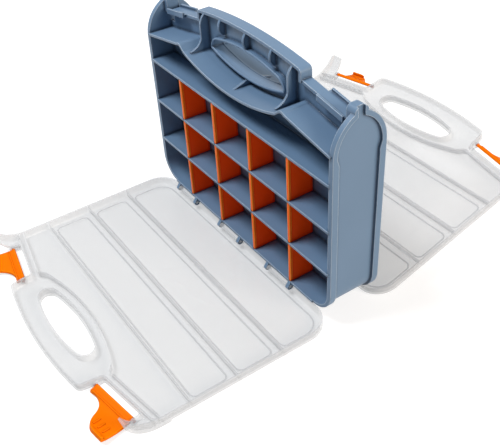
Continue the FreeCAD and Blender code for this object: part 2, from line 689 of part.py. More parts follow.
def make_lid(label, placement):
    lid = new_body(label)
    deep = d.lid_depth
    # Outline with handle and latch pockets, its corners rounded
    sketch = new_sketch(lid, "XZ_Plane")
    bow_bend = arc_radius(d.bow_side, d.bow_top - d.bow_end)
    draw_loop(sketch, mirrored([
        (d.lid_half, -d.lid_inset),
        (d.lid_half, pocket_level(d.lid_half)),
        (d.pocket_near, d.pocket_top),
        (d.bow_side, d.bow_end, bow_bend, LEFT_TURN),
    ]))
    pad(lid, sketch, deep)
    round_edges(lid, upright_at(d.lid_half, -d.lid_inset), d.lid_corner)
    round_edges(lid, upright_at(d.lid_half, pocket_level(d.lid_half)), d.corner_small)
    round_edges(lid, upright_at(d.pocket_near, d.pocket_top), d.pocket_round)
    round_edges(lid, upright_at(d.bow_side, d.bow_end), d.bow_round)
    outer = -deep.value
    near = d.pin_play.value
    round_edges(lid, lambda e: all(abs(v.Point.y - outer) < near for v in e.Vertexes), d.lid_round)
    # Shell
    doc.recompute()
    tip = lid.Tip
    rim_faces = []
    for i, face in enumerate(tip.Shape.Faces, start=1):
        box = face.BoundBox
        if abs(box.YMin) < near and abs(box.YMax) < near:
            rim_faces.append("Face%d" % i)
    shell = lid.newObject("PartDesign::Thickness", "Shell")
    shell.Base = (tip, rim_faces)
    shell.Reversed = True
    shell.setExpression("Value", d.lid_wall.text)
    # Hand hole and its collar
    sketch = new_sketch(lid, "XZ_Plane", d.seal_gap)
    draw_loop(sketch, oval_loop(d.lid_wall))
    pad(lid, sketch, deep - d.seal_gap - d.lid_wall.half())
    sketch = new_sketch(lid, "XZ_Plane")
    draw_loop(sketch, oval_loop(zero))
    pocket(lid, sketch, deep + d.overrun, back=True)
    # Ribs that meet the shelf edges and the wave
    inner = deep - d.lid_wall.half()
    rib = d.rib_lid.half()
    reach = d.lid_half - d.lid_wall.half()
    level = d.floor_top + d.row_pitch - d.wall.half() - d.hinge_z
    sketch = new_sketch(lid, "XZ_Plane", d.seal_gap)
    draw_loop(sketch, box_loop(-reach, reach, level - rib, level + rib))
    straight = pad(lid, sketch, inner - d.seal_gap)
    repeat(lid, [straight], "Z_Axis", d.row_pitch, ROWS)
    sketch = new_sketch(lid, "XZ_Plane", d.seal_gap)
    draw_loop(sketch, wave_band(d.rib_lid, d.hinge_z + d.wall.half() - rib, reach))
    pad(lid, sketch, inner - d.seal_gap)
    # Horns that close over the end walls
    sketch = new_sketch(lid, "YZ_Plane", d.horn_inner)
    middle = d.horn_round - deep
    tip_y = middle - d.horn_round * cosine(d.horn_turn)
    tip_z = d.horn_level + d.horn_round * sine(d.horn_turn)
    under = d.horn_round - d.horn_thick
    draw_loop(sketch, [
        (-deep, d.horn_level),
        (d.horn_thick - deep, d.horn_level, under, RIGHT_TURN),
        (middle - under * cosine(d.horn_turn), d.horn_level + under * sine(d.horn_turn)),
        (tip_y, tip_z, d.horn_round, LEFT_TURN),
    ])
    strip = pad(lid, sketch, d.lid_half - d.horn_inner)
    sketch = new_sketch(lid, "YZ_Plane", d.lid_half - d.lid_wall)
    deeper = d.horn_round - d.horn_cheek
    draw_loop(sketch, [
        (-deep, d.cheek_root),
        (-d.seal_gap, d.cheek_root),
        (-d.seal_gap, d.lid_side_top - d.overrun, d.cheek_round, RIGHT_TURN),
        (middle - deeper * cosine(d.horn_turn), d.horn_level + deeper * sine(d.horn_turn)),
        (tip_y, tip_z, d.horn_round, LEFT_TURN),
        (-deep, d.horn_level),
    ])
    cheek = pad(lid, sketch, d.lid_wall)
    mirror(lid, [strip, cheek], "YZ_Plane")
    # Slots for the body's knuckles
    slot_wide = d.ear_wide + d.side_play.twice()
    slots = []
    for step in (-d.ear_step - d.ear_wide, d.ear_step):
        sketch = new_sketch(lid, "YZ_Plane", zero - d.unit_first + step - d.side_play)
        room = d.knuckle_round + d.side_play
        draw_loop(sketch, box_loop(-room, d.overrun, -d.lid_inset - d.overrun, d.lid_wall))
        slots.append(pocket(lid, sketch, slot_wide, back=True))
    repeat(lid, slots, "X_Axis", d.unit_pitch, HINGE_UNITS)
    # Hinge barrels and pins
    half_barrel = d.ear_step - d.side_play
    sketch = new_sketch(lid, "YZ_Plane", zero - d.unit_first - half_barrel)
    big = d.barrel_round
    draw_loop(sketch, [
        (-big, zero),
        (-big, -big),
        (zero, -big, big, LEFT_TURN),
        (big, zero, big, LEFT_TURN),
        (zero, big, big, LEFT_TURN),
    ])
    barrel = pad(lid, sketch, half_barrel.twice())
    half_pin = d.ear_step + d.ear_wide
    sketch = new_sketch(lid, "YZ_Plane", zero - d.unit_first - half_pin)
    draw_circle(sketch, zero, zero, d.pin_round)
    pin = pad(lid, sketch, half_pin.twice())
    repeat(lid, [barrel, pin], "X_Axis", d.unit_pitch, HINGE_UNITS)
    # Latch lugs
    add_lugs(lid, LEFT_TURN)
    add_lugs(lid, RIGHT_TURN)
    lid.Placement = placement
    return lid


def fall_angle():
    return Size(math.degrees(math.atan(d.fall_share.value)), "atan(Sheet.fall_share)")


def add_lugs(lid, side):
    """Two lugs with pivot holes at the ends of a latch pocket, square to the sloped pivot."""
    fall = fall_angle()
    starts = (-d.latch_half - d.side_play - d.lug_wide, d.latch_half + d.side_play)
    for start in starts:
        across = d.latch_at + start * cosine(fall)
        up = d.pivot_level - start * sine(fall)
        turn = fall
        if side == RIGHT_TURN:
            across = -d.latch_at + start * cosine(fall)
            up = d.pivot_level + start * sine(fall)
            turn = -fall
        sketch = new_sketch(lid, "YZ_Plane", across, (-d.pivot_deep, up), turn)
        sketch.setExpression("AttachmentOffset.Rotation.Angle", turn.text)
        draw_loop(sketch, [
            (-d.lug_round, -d.lug_leg),
            (d.lug_round, -d.lug_leg),
            (d.lug_round, zero, d.lug_round, LEFT_TURN),
            (zero, d.lug_round, d.lug_round, LEFT_TURN),
            (-d.lug_round, zero),
        ])
        pad(lid, sketch, d.lug_wide)
        sketch = new_sketch(lid, "YZ_Plane", across, (-d.pivot_deep, up), turn)
        sketch.setExpression("AttachmentOffset.Rotation.Angle", turn.text)
        draw_circle(sketch, zero, zero, d.pin_round + d.pin_play)
        pocket(lid, sketch, d.lug_wide, back=True)


# A latch, drawn closed with its pivot axis along X at the origin
def make_latch(label, hand, placement):
    latch = new_body(label)
    fall = fall_angle()
    lip_far = d.hinge_y + d.pivot_deep - d.catch_half + d.lip_thick
    lip_near = d.hinge_y + d.pivot_deep - d.catch_half
    lift = (catch_level(d.latch_at) - d.hinge_z - d.pivot_level) * cosine(fall)
    roof = lift + d.lip_rise + d.hook_gap
    top = roof + d.latch_thick
    hook_in = lip_far + d.hook_gap
    hook_out = hook_in + d.hook_thick
    hook_low = lift + d.hook_gap
    round_in = d.latch_barrel
    # Arched plate with its hook
    sketch = new_sketch(latch, "YZ_Plane", -d.latch_half)
    draw_loop(sketch, [
        (zero, -round_in),
        (round_in, zero, d.latch_bend, RIGHT_TURN),
        (lip_near - d.hook_gap, roof),
        (hook_in, roof),
        (hook_in, hook_low),
        (hook_out, hook_low),
        (hook_out, top - d.hook_round, d.hook_round, LEFT_TURN),
        (hook_out - d.hook_round, top),
        (lip_near - d.hook_gap, top, d.latch_bend, LEFT_TURN),
        (-round_in, zero, round_in, LEFT_TURN),
    ])
    pad(latch, sketch, d.latch_half.twice())
    # Side scallop and rounded nose: the hook end is narrower than the pivot end
    sketch = new_sketch(latch, "XY_Plane", -d.overrun)
    side = d.latch_half + d.overrun
    end = hook_out + d.overrun
    shape = [
        (-side, d.notch_start),
        (-d.latch_half + d.overrun, d.notch_start, d.notch_round, LEFT_TURN),
        (-d.waist_at, d.waist_reach, d.nose_round, RIGHT_TURN),
        (d.nose_at, hook_out),
        (d.nose_at, end),
        (-side, end),
    ]
    if hand == RIGHT_TURN:
        shape = [(-p[0], p[1]) + ((p[2], -p[3]) if len(p) > 2 else ()) for p in shape]
    draw_loop(sketch, shape)
    pocket(latch, sketch, top + d.overrun.twice(), back=True)
    # Pivot pins
    sketch = new_sketch(latch, "YZ_Plane", -d.latch_half - d.lug_wide)
    draw_circle(sketch, zero, zero, d.pin_round)
    pad(latch, sketch, (d.latch_half + d.lug_wide).twice())
    latch.Placement = placement
    return latch


# A divider, drawn with its lower front edge at the origin
def make_divider(label, facing, column, row):
    divider = new_body(label)
    tongue = d.groove_deep - d.divider_play
    high = d.row_pitch - d.wall
    deep = d.front_reach - d.divider_front - d.wall.half() - d.divider_back
    sketch = new_sketch(divider, "YZ_Plane", -d.divider_thick.half())
    draw_loop(sketch, box_loop(zero, deep, -tongue, high + tongue))
    pad(divider, sketch, d.divider_thick)
    sketch = new_sketch(divider, "YZ_Plane")
    draw_loop(sketch, box_loop(zero, d.bead_deep, d.side_play, high - d.side_play))
    pad(divider, sketch, d.bead_half.twice(), both=True)
    level = d.floor_top + d.row_pitch.times(row)
    out = d.frame_shift + d.front_reach - d.divider_front
    turn = FreeCAD.Rotation(FreeCAD.Vector(0, 0, 1), 180)
    if facing == LEFT_TURN:
        out = d.frame_shift - d.front_reach + d.divider_front
        turn = FreeCAD.Rotation()
    divider.Placement = FreeCAD.Placement(
        FreeCAD.Vector(column.value, out.value, level.value), turn)
    divider.setExpression("Placement.Base.x", column.text)
    divider.setExpression("Placement.Base.y", out.text)
    divider.setExpression("Placement.Base.z", level.text)
    return divider


# Placements
def turn_about(axis, angle):
    return FreeCAD.Placement(FreeCAD.Vector(0, 0, 0), FreeCAD.Rotation(FreeCAD.Vector(*axis), angle))


def shift_by(across, along, up):
    return FreeCAD.Placement(FreeCAD.Vector(across, along, up), FreeCAD.Rotation())


def lid_place(opening, rear):
    place = shift_by(0, -d.hinge_y.value, d.hinge_z.value).multiply(turn_about((1, 0, 0), opening))
    if rear:
        place = turn_about((0, 0, 1), 180).multiply(place)
    return shift_by(0, d.frame_shift.value, 0).multiply(place)


def latch_place(lid, hand, opening):
    place = shift_by(hand * d.latch_at.value, -d.pivot_deep.value, d.pivot_level.value)
    place = place.multiply(turn_about((0, 1, 0), hand * fall_angle().value))
    place = place.multiply(turn_about((1, 0, 0), opening.value))
    return lid.multiply(place)


# Build everything
parts = [make_body()]
front = lid_place(d.front_open.value, False)
rear = lid_place(d.rear_open.value, True)
parts.append(make_lid("front_lid", front))
parts.append(make_lid("rear_lid", rear))
parts.append(make_latch("front_latch_right", LEFT_TURN, latch_place(front, 1, d.latch_open)))
parts.append(make_latch("front_latch_left", RIGHT_TURN, latch_place(front, -1, d.latch_open)))
parts.append(make_latch("rear_latch_right", LEFT_TURN, latch_place(rear, 1, d.rear_latch_open)))
parts.append(make_latch("rear_latch_left", RIGHT_TURN, latch_place(rear, -1, d.rear_latch_open)))
FRONT_COLUMNS = (-d.column_far, -d.column_near, d.column_near, d.column_far)
REAR_COLUMNS = (-d.column_near, d.column_near)
for row in range(ROWS):
    for column, place in enumerate(FRONT_COLUMNS, start=1):
        parts.append(make_divider("front_divider_%d%d" % (row + 1, column), LEFT_TURN, place, row))
    for column, place in enumerate(REAR_COLUMNS, start=1):
        parts.append(make_divider("rear_divider_%d%d" % (row + 1, column), RIGHT_TURN, place, row))
doc.recompute()

# Check and export
bad = []
for item in doc.Objects:
    if "Invalid" in item.State or "Error" in item.State:
        bad.append("%s %s" % (item.Label, item.getStatusString()))
if bad:
    raise RuntimeError("not up to date: " + ", ".join(bad))
for part in parts:
    shape = part.Shape
    if shape.isNull() or not shape.isValid():
        raise RuntimeError("bad shape in " + part.Label)
    if len(shape.Solids) != 1:
        raise RuntimeError("%s has %d solids" % (part.Label, len(shape.Solids)))
    shape.exportStep(os.path.join("parts", part.Label + ".step"))
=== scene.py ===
import bpy
import json
import math
import numpy as np
from mathutils import Matrix, Vector


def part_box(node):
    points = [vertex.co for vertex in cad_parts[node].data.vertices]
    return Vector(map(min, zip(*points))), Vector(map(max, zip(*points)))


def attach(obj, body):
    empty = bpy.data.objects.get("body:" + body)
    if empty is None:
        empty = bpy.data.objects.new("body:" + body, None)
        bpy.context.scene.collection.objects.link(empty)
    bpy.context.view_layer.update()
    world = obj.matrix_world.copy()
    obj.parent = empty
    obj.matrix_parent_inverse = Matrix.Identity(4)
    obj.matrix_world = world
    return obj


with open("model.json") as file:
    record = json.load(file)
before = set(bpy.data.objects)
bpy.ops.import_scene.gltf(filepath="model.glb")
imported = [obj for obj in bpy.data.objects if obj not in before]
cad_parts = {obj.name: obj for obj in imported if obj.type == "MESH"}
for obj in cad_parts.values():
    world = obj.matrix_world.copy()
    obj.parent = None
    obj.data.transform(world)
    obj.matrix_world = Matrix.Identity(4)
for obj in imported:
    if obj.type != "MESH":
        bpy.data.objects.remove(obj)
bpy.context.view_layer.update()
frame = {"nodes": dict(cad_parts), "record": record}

bl_info = {
    "name": "Screw sorting box looks",
    "version": (1, 0, 0),
    "blender": (4, 5, 0),
    "location": "View3D > Sidebar > Sorting box",
    "description": "Dresses the sorting box: body, lids, latches, dividers and stage",
    "category": "Object",
}

# Places on the body in metres, across and up
COLLAR_SIDE, COLLAR_SIDE_UP = 0.058, 0.198      # low arc meets the end arcs
COLLAR_TOP, COLLAR_TOP_UP = 0.0468, 0.2094      # end arcs meet the top arc
COLLAR_LOW_BEND, COLLAR_END_BEND, COLLAR_TOP_BEND = 0.1743, 0.0130, 0.1848
COLLAR_LOW_POINTS, COLLAR_END_POINTS, COLLAR_TOP_POINTS = 60, 12, 50
COLLAR_FACE = 0.006                             # collar face from the mid-plane
MOON_COLUMNS = (-0.04, 0.0, 0.04)               # half-moon ribs of the grip
MOON_FOOT, MOON_LOW, MOON_HIGH = 0.0044, 0.2165, 0.2315
MOON_BEND, MOON_POINTS = 0.0096, 24
STOP_LEVELS = (0.0153, 0.0630, 0.1107)          # middle of the floor's and lower shelves' edges
STOP_COLUMNS = ((-1, (-0.09, -0.03, 0.03, 0.09)), (1, (-0.03, 0.03)))   # front, rear
STOP_REACH, STOP_STEP = 0.0284, 0.0022          # from the mid-plane, and from a divider's middle

# Places on a lid, from its hinge
LID_OPEN = {"front": math.radians(90.0), "rear": math.radians(73.0)}    # closed to rest
LID_INNER_FACE = -0.0082
PANELS = ((0.004, 0.0475, 0.018),               # start, end, corner radius nearer the hinge
          (0.0585, 0.0952, 0.006),
          (0.1062, 0.1429, 0.006))
PANEL_REACH, PANEL_ROUND = 0.1445, 0.006
PANEL_LONG_POINTS, PANEL_SHORT_POINTS = 60, 20
PANEL_NEAR_POINTS, PANEL_FAR_POINTS = 12, 10

# Places on a latch, from its pivot
LATCH_OPEN = {"front": math.radians(69.5), "rear": math.radians(112.0)}  # hooked to rest
RAIL_SLOPE = 0.17                               # fall of the catch rails, which the pivots follow
LATCH_FALL = math.atan(RAIL_SLOPE)
LATCH_BEND, LATCH_CREST, LATCH_DROP = 0.060, 0.0315, 0.0525
PIVOT_RIDGE_AT, PIVOT_RIDGE_REACH, PIVOT_RIDGE_POINTS = 0.0046, 0.0245, 30
PIVOT_RIDGE_LEAN = (0.91, 0.42)
HOOK_RIBS = (0.006, 0.0125, 0.019)
HOOK_RIB_START, HOOK_RIB_END, HOOK_RIB_POINTS = 0.0170, 0.0240, 24

# Opaque plastics: colour of the painted highlight on edges and of the painted shade in crevices,
# roughness from and to, bump, specular level, and how wide and how strong the painted edge
# highlights are
BODY_LOOK = {"painted_highlight": (0.54, 0.64, 0.74), "deep": (0.034, 0.062, 0.110),
             "rough": (0.34, 0.48), "bump": 0.10, "gloss": 0.45, "spread": 1.0, "gain": 6.0}
LATCH_LOOK = {"painted_highlight": (1.0, 0.36, 0.004), "deep": (0.46, 0.04, 0.0005),
              "rough": (0.40, 0.52), "bump": 0.06, "gloss": 0.04, "spread": 1.0, "gain": 6.0}
DIVIDER_LOOK = {"painted_highlight": (1.0, 0.52, 0.04), "deep": (0.50, 0.03, 0.0005),
                "rough": (0.38, 0.50), "bump": 0.06, "gloss": 0.15, "spread": 1.7, "gain": 14.0}
DIVIDER_PAINTED_GLOW = (0.058, 0.0015, 0.0)             # painted glow: emission all over the dividers, though they are no lamp
LATCH_PALE, DIVIDER_PALE = 1.15, 1.12           # pale tone over base colour

# Milky lids
LID_PALE, LID_ROUGH, LID_BUMP = 1.08, (0.18, 0.34), 0.05
# painted highlight along the lids' edges
LID_PAINTED_HIGHLIGHT = (0.80, 0.81, 0.82)
LID_PAINTED_GLOW = (0.150, 0.154, 0.158)                # painted glow: emission all over the lids, though they are no lamp
LID_HAZE_SPREAD = 0.02
LID_EDGE_GAIN, LID_GRAIN_SCALE = 2.0, 0.6

# All plastics
PLASTIC_IOR, GRAIN_HEIGHT = 1.49, 0.0002
FLOW_TO_PALE = (0.35, 0.7, 0.0, 0.45)           # flow marks to share of the pale tone
OPEN_TO_PAINTED_SHADE = (0.55, 0.97, 1.0, 0.0)        # open sky share to painted shade in crevices
EDGE_SAMPLES = 6

# Stage: lamps as name, place, size, power, tint
LAMPS = (("Side", (1.9, 0.45, 0.9), 0.8, 34.5, (1.0, 0.88, 0.77)),
         ("Top", (-0.4, -0.75, 1.9), 0.7, 36.5, (0.97, 0.98, 1.0)))
LAMP_AIM = (0, 0, 0.1)
WHITE = (1, 1, 1, 1)
SKY_LIGHT, SKY_SEEN = 0.135, 1.0
FLOOR_REACH, FLOOR_DROP = 6.0, 0.0004
FLOOR_ROUGH, FLOOR_GLOSS = 0.9, 0.1
FLOOR_TO_GLOW = (0.40, 1.40, 0.69, 0.98)        # distance from the middle to glow
SENSOR_WIDTH, CLIP_START = 36.0, 0.01

# Sockets of a colour Mix node
MIX_A, MIX_B, MIX_OUT = 6, 7, 2


class SortingBoxFinish(bpy.types.PropertyGroup):
    """Colours and surface values of the moulded plastics."""

    body_colour: bpy.props.FloatVectorProperty(
        name="Body colour", description="Blue-grey of the moulded body",
        subtype="COLOR", size=3, min=0, max=1, default=(0.122, 0.206, 0.321))
    body_pale: bpy.props.FloatVectorProperty(
        name="Body pale tone", description="Paler blue-grey where the moulding is thin or rubbed",
        subtype="COLOR", size=3, min=0, max=1, default=(0.151, 0.241, 0.367))
    lid_colour: bpy.props.FloatVectorProperty(
        name="Lid colour", description="Milky tone of the clear lids",
        subtype="COLOR", size=3, min=0, max=1, default=(0.45, 0.463, 0.476))
    lid_haze: bpy.props.FloatProperty(
        name="Lid haze", description="How much of each lid face is milky rather than clear",
        subtype="FACTOR", min=0, max=1, default=0.38)
    latch_colour: bpy.props.FloatVectorProperty(
        name="Latch colour", description="Bright orange of the latches",
        subtype="COLOR", size=3, min=0, max=1, default=(0.94, 0.182, 0.0004))
    divider_colour: bpy.props.FloatVectorProperty(
        name="Divider colour", description="Orange of the dividers",
        subtype="COLOR", size=3, min=0, max=1, default=(1.0, 0.088, 0.001))
    grain: bpy.props.FloatProperty(
        name="Mould grain", description="Size of the fine grain of the moulds",
        unit="LENGTH", min=0.0001, max=0.01, default=0.0012)
    edge: bpy.props.FloatProperty(
        name="Edge softness", description="Radius of the softened moulded edges",
        unit="LENGTH", min=0.0001, max=0.005, default=0.0010)


class SortingBoxDetails(bpy.types.PropertyGroup):
    """Sizes of the small shapes added to the moulded parts."""

    collar_lip: bpy.props.FloatVectorProperty(
        name="Collar lip", description="Half width and half height of the hand hole's lips",
        unit="LENGTH", size=2, min=0, default=(0.0013, 0.0011))
    moon_lip: bpy.props.FloatVectorProperty(
        name="Half-moon lip", description="Half width and half height of the half-moon ribs' lips",
        unit="LENGTH", size=2, min=0, default=(0.0016, 0.0009))
    stop: bpy.props.FloatVectorProperty(
        name="Shelf stop", description="Half sizes of a stop on a shelf edge",
        unit="LENGTH", size=3, min=0, default=(0.0011, 0.0009, 0.0016))
    panel_ridge: bpy.props.FloatVectorProperty(
        name="Panel ridge", description="Half width and half height of the lid panels' ridges",
        unit="LENGTH", size=2, min=0, default=(0.0009, 0.00035))
    pivot_ridge: bpy.props.FloatVectorProperty(
        name="Pivot ridge", description="Half width and half height of a latch's pivot ridge",
        unit="LENGTH", size=2, min=0, default=(0.0009, 0.0006))
    hook_rib: bpy.props.FloatVectorProperty(
        name="Hook rib", description="Half width and half height of the ribs by a latch's hook",
        unit="LENGTH", size=2, min=0, default=(0.0008, 0.0007))


class SortingBoxStage(bpy.types.PropertyGroup):
    """Camera and floor values."""

    camera_place: bpy.props.FloatVectorProperty(
        name="Camera place", description="Where the camera stands",
        subtype="TRANSLATION", unit="LENGTH", size=3, default=(0.53114, -0.34278, 0.51839))
    azimuth: bpy.props.FloatProperty(
        name="Azimuth", description="Turn of the camera round the box",
        subtype="ANGLE", default=math.radians(57.794))
    elevation: bpy.props.FloatProperty(
        name="Elevation", description="Angle of the camera above the floor",
        subtype="ANGLE", default=math.radians(38.255))
    roll: bpy.props.FloatProperty(
        name="Roll", description="Roll of the camera about its view",
        subtype="ANGLE", default=math.radians(-3.665))
    lens: bpy.props.FloatProperty(
        name="Lens", description="Focal length on a 36 mm sensor",
        unit="CAMERA", min=1, default=55.37)
    floor_colour: bpy.props.FloatVectorProperty(
        name="Floor colour", description="Pale floor",
        subtype="COLOR", size=3, min=0, max=1, default=(0.52, 0.52, 0.52))


# Nodes
def add_node(tree, kind, **values):
    """One node, with its input defaults or its properties set by name."""
    node = tree.nodes.new(kind)
    for name, value in values.items():
        if name in node.inputs:
            node.inputs[name].default_value = value
        else:
            setattr(node, name, value)
    return node


def map_range(tree, low, high, to_low, to_high):
    """A Map Range node with its four limits."""
    node = add_node(tree, "ShaderNodeMapRange")
    limits = {"From Min": low, "From Max": high, "To Min": to_low, "To Max": to_high}
    for name, value in limits.items():
        node.inputs[name].default_value = value
    return node


def mix_to(tree, colour):
    """A colour Mix node whose second colour is given."""
    node = add_node(tree, "ShaderNodeMix", data_type="RGBA")
    node.inputs[MIX_B].default_value = (*colour, 1)
    return node


def new_group(name, inputs, outputs):
    """An empty shader group with its sockets; gives the tree, its input and its output node."""
    tree = bpy.data.node_groups.new(name, "ShaderNodeTree")
    for label, kind, value in inputs:
        socket = tree.interface.new_socket(label, in_out="INPUT", socket_type=kind)
        socket.default_value = value
    for label, kind in outputs:
        tree.interface.new_socket(label, in_out="OUTPUT", socket_type=kind)
    return tree, tree.nodes.new("NodeGroupInput"), tree.nodes.new("NodeGroupOutput")


def mould_grain_group():
    """Moulded plastic on object coordinates: fine grain, slow flow marks and a patchy sheen."""
    tree, inside, out = new_group("Mould grain", [
        ("Scale", "NodeSocketFloat", 800.0),
        ("Base", "NodeSocketColor", (0.5, 0.5, 0.5, 1)),
        ("Pale", "NodeSocketColor", (0.6, 0.6, 0.6, 1)),
        ("Rough low", "NodeSocketFloat", 0.35),
        ("Rough high", "NodeSocketFloat", 0.5),
    ], [
        ("Colour", "NodeSocketColor"),
        ("Roughness", "NodeSocketFloat"),
        ("Height", "NodeSocketFloat"),
    ])
    place = add_node(tree, "ShaderNodeTexCoord")
    fine = add_node(tree, "ShaderNodeTexNoise", Detail=3.0, Roughness=0.6)
    flow = add_node(tree, "ShaderNodeTexNoise",
                    Scale=9.0, Detail=4.0, Roughness=0.55, Distortion=0.8)
    patch = map_range(tree, *FLOW_TO_PALE)
    tint = add_node(tree, "ShaderNodeMix", data_type="RGBA")
    sheen = add_node(tree, "ShaderNodeMapRange")
    link = tree.links.new
    link(place.outputs["Object"], fine.inputs["Vector"])
    link(inside.outputs["Scale"], fine.inputs["Scale"])
    link(place.outputs["Object"], flow.inputs["Vector"])
    link(flow.outputs["Fac"], patch.inputs["Value"])
    link(patch.outputs["Result"], tint.inputs["Factor"])
    link(inside.outputs["Base"], tint.inputs[MIX_A])
    link(inside.outputs["Pale"], tint.inputs[MIX_B])
    link(flow.outputs["Fac"], sheen.inputs["Value"])
    link(inside.outputs["Rough low"], sheen.inputs["To Min"])
    link(inside.outputs["Rough high"], sheen.inputs["To Max"])
    link(tint.outputs[MIX_OUT], out.inputs["Colour"])
    link(sheen.outputs["Result"], out.inputs["Roughness"])
    link(fine.outputs["Fac"], out.inputs["Height"])
    return tree


def edge_and_painted_light_group():
    """Masks for painted light: the softened normal leaves the flat one at edges, where a painted
    highlight goes; nearby walls tell crevices, where painted shade goes; and a crevice takes the
    painted highlight away."""
    tree, inside, out = new_group("Edge normal and painted light", [
        ("Radius", "NodeSocketFloat", 0.0008),
        ("Gain", "NodeSocketFloat", 6.0),
        ("Crevice", "NodeSocketFloat", 0.004),
    ], [
        ("Mask", "NodeSocketFloat"),
        ("Crevice", "NodeSocketFloat"),
        ("Normal", "NodeSocketVector"),
    ])
    soft = add_node(tree, "ShaderNodeBevel", samples=EDGE_SAMPLES)
    flat = add_node(tree, "ShaderNodeNewGeometry")
    agree = add_node(tree, "ShaderNodeVectorMath", operation="DOT_PRODUCT")
    part = add_node(tree, "ShaderNodeMath", operation="SUBTRACT")
    part.inputs[0].default_value = 1.0
    gain = add_node(tree, "ShaderNodeMath", operation="MULTIPLY", use_clamp=True)
    near = add_node(tree, "ShaderNodeAmbientOcclusion", samples=EDGE_SAMPLES)
    deep = map_range(tree, *OPEN_TO_PAINTED_SHADE)
    outside = add_node(tree, "ShaderNodeMath", operation="SUBTRACT", use_clamp=True)
    link = tree.links.new
    link(inside.outputs["Radius"], soft.inputs["Radius"])
    link(soft.outputs["Normal"], agree.inputs[0])
    link(flat.outputs["Normal"], agree.inputs[1])
    link(agree.outputs["Value"], part.inputs[1])
    link(part.outputs["Value"], gain.inputs[0])
    link(inside.outputs["Gain"], gain.inputs[1])
    link(inside.outputs["Crevice"], near.inputs["Distance"])
    link(near.outputs["AO"], deep.inputs["Value"])
    link(gain.outputs["Value"], outside.inputs[0])
    link(deep.outputs["Result"], outside.inputs[1])
    link(outside.outputs["Value"], out.inputs["Mask"])
    link(deep.outputs["Result"], out.inputs["Crevice"])
    link(soft.outputs["Normal"], out.inputs["Normal"])
    return tree


GROUPS = {}


def shared_group(make):
    """The one shared group that a function makes."""
    if make not in GROUPS:
        GROUPS[make] = make()
    return GROUPS[make]


# Materials
def plastic(name, base, pale, rough, scale, radius, gain, bump):
    """What all the plastics share: grain, masks for painted edge highlights and painted crevice
    shade, and a bump on the softened normal.
    Gives the material, its shader and the two group nodes."""
    material = bpy.data.materials.new(name)
    material.use_nodes = True
    tree = material.node_tree
    shader = tree.nodes["Principled BSDF"]
    shader.inputs["IOR"].default_value = PLASTIC_IOR
    grain = add_node(tree, "ShaderNodeGroup", node_tree=shared_group(mould_grain_group))
    grain.inputs["Scale"].default_value = scale
    grain.inputs["Base"].default_value = (*base, 1)
    grain.inputs["Pale"].default_value = (*pale, 1)
    grain.inputs["Rough low"].default_value, grain.inputs["Rough high"].default_value = rough
    edge = add_node(tree, "ShaderNodeGroup", node_tree=shared_group(edge_and_painted_light_group))
    edge.inputs["Radius"].default_value = radius
    edge.inputs["Gain"].default_value = gain
    raise_grain = add_node(tree, "ShaderNodeBump", Strength=bump, Distance=GRAIN_HEIGHT)
    link = tree.links.new
    link(grain.outputs["Roughness"], shader.inputs["Roughness"])
    link(grain.outputs["Height"], raise_grain.inputs["Height"])
    link(edge.outputs["Normal"], raise_grain.inputs["Normal"])
    link(raise_grain.outputs["Normal"], shader.inputs["Normal"])
    return material, shader, grain, edge


def moulded(name, base, pale, look, finish):
    """Opaque moulded plastic: grain for colour and sheen, a painted highlight on edges, painted
    shade in crevices.
    Gives the material and its shader."""
    material, shader, grain, edge = plastic(
        name, base, pale, look["rough"], 1.0 / finish.grain, finish.edge * look["spread"],
        look["gain"], look["bump"])
    shader.inputs["Specular IOR Level"].default_value = look["gloss"]
    # painted shade darkens the crevices, then a painted highlight lightens the edges
    paint_shade = mix_to(material.node_tree, look["deep"])
    paint_highlight = mix_to(material.node_tree, look["painted_highlight"])
    link = material.node_tree.links.new
    link(edge.outputs["Crevice"], paint_shade.inputs["Factor"])
    link(grain.outputs["Colour"], paint_shade.inputs[MIX_A])
    link(edge.outputs["Mask"], paint_highlight.inputs["Factor"])
    link(paint_shade.outputs[MIX_OUT], paint_highlight.inputs[MIX_A])
    link(paint_highlight.outputs[MIX_OUT], shader.inputs["Base Color"])
    return material, shader


def milky(name, finish):
    """Clear polypropylene: a milky skin with a painted glow all over, a painted highlight along
    its edges, and a patchy haze.
    """
    colour, haze = finish.lid_colour, finish.lid_haze
    material, shader, grain, edge = plastic(
        name, colour, paler(colour, LID_PALE), LID_ROUGH, LID_GRAIN_SCALE / finish.grain,
        finish.edge, LID_EDGE_GAIN, LID_BUMP)
    # painted glow all over the lid, though it is no lamp
    glow(shader, LID_PAINTED_GLOW)
    # painted highlight along the lid's edges
    paint_highlight = mix_to(material.node_tree, LID_PAINTED_HIGHLIGHT)
    cover = map_range(material.node_tree, *LID_ROUGH,
                      haze - LID_HAZE_SPREAD, haze + LID_HAZE_SPREAD)
    link = material.node_tree.links.new
    link(edge.outputs["Mask"], paint_highlight.inputs["Factor"])
    link(grain.outputs["Colour"], paint_highlight.inputs[MIX_A])
    link(paint_highlight.outputs[MIX_OUT], shader.inputs["Base Color"])
    link(grain.outputs["Roughness"], cover.inputs["Value"])
    link(cover.outputs["Result"], shader.inputs["Alpha"])
    return material


def paler(colour, share):
    """A colour raised by a share, up to one."""
    return [min(1.0, c * share) for c in colour]


def glow(shader, colour):
    """A faint painted glow of one colour all over: emission, though the part is no lamp."""
    shader.inputs["Emission Color"].default_value = (*colour, 1)
    shader.inputs["Emission Strength"].default_value = 1.0


def dress(names, material):
    """Gives CAD nodes a material in all their slots."""
    for name in names:
        mesh = frame["nodes"][name].data
        if not mesh.materials:
            mesh.materials.append(material)
        for index in range(len(mesh.materials)):
            mesh.materials[index] = material


def nodes_like(word):
    """Names of the CAD nodes that hold a word."""
    found = [name for name in frame["nodes"] if word in name]
    if not found:
        raise RuntimeError("no CAD node holds " + word)
    return found


